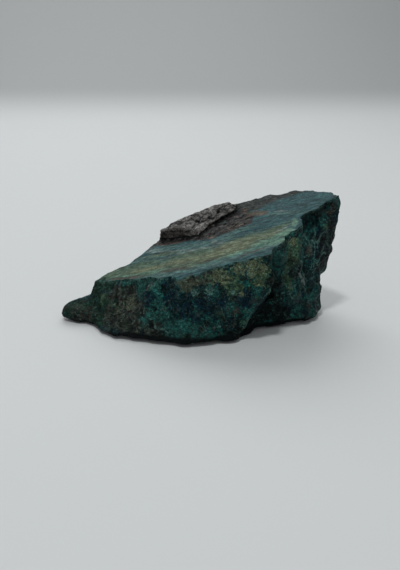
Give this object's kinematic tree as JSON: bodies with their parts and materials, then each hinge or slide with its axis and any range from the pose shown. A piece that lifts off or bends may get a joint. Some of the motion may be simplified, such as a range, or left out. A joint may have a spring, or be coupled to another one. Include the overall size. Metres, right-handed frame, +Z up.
{
  "type": "rough turquoise",
  "caption": "Hand-sized lump of rough turquoise with a sloping sawn face and a ledge of host rock, resting on its flat underside.",
  "frame": {"origin": "centre of the bounding box's underside, where the stone meets what it stands on", "axes": "+Z up, +X along the stone's length towards its tall end, -Y towards its broken front face"},
  "size_m": [0.0998, 0.0534, 0.0435],
  "materials": {
    "turquoise": "broken and weathered, with a matt sawn face"
  },
  "bodies": {
    "root": {"stone": "turquoise"}
  },
  "joints": []
}
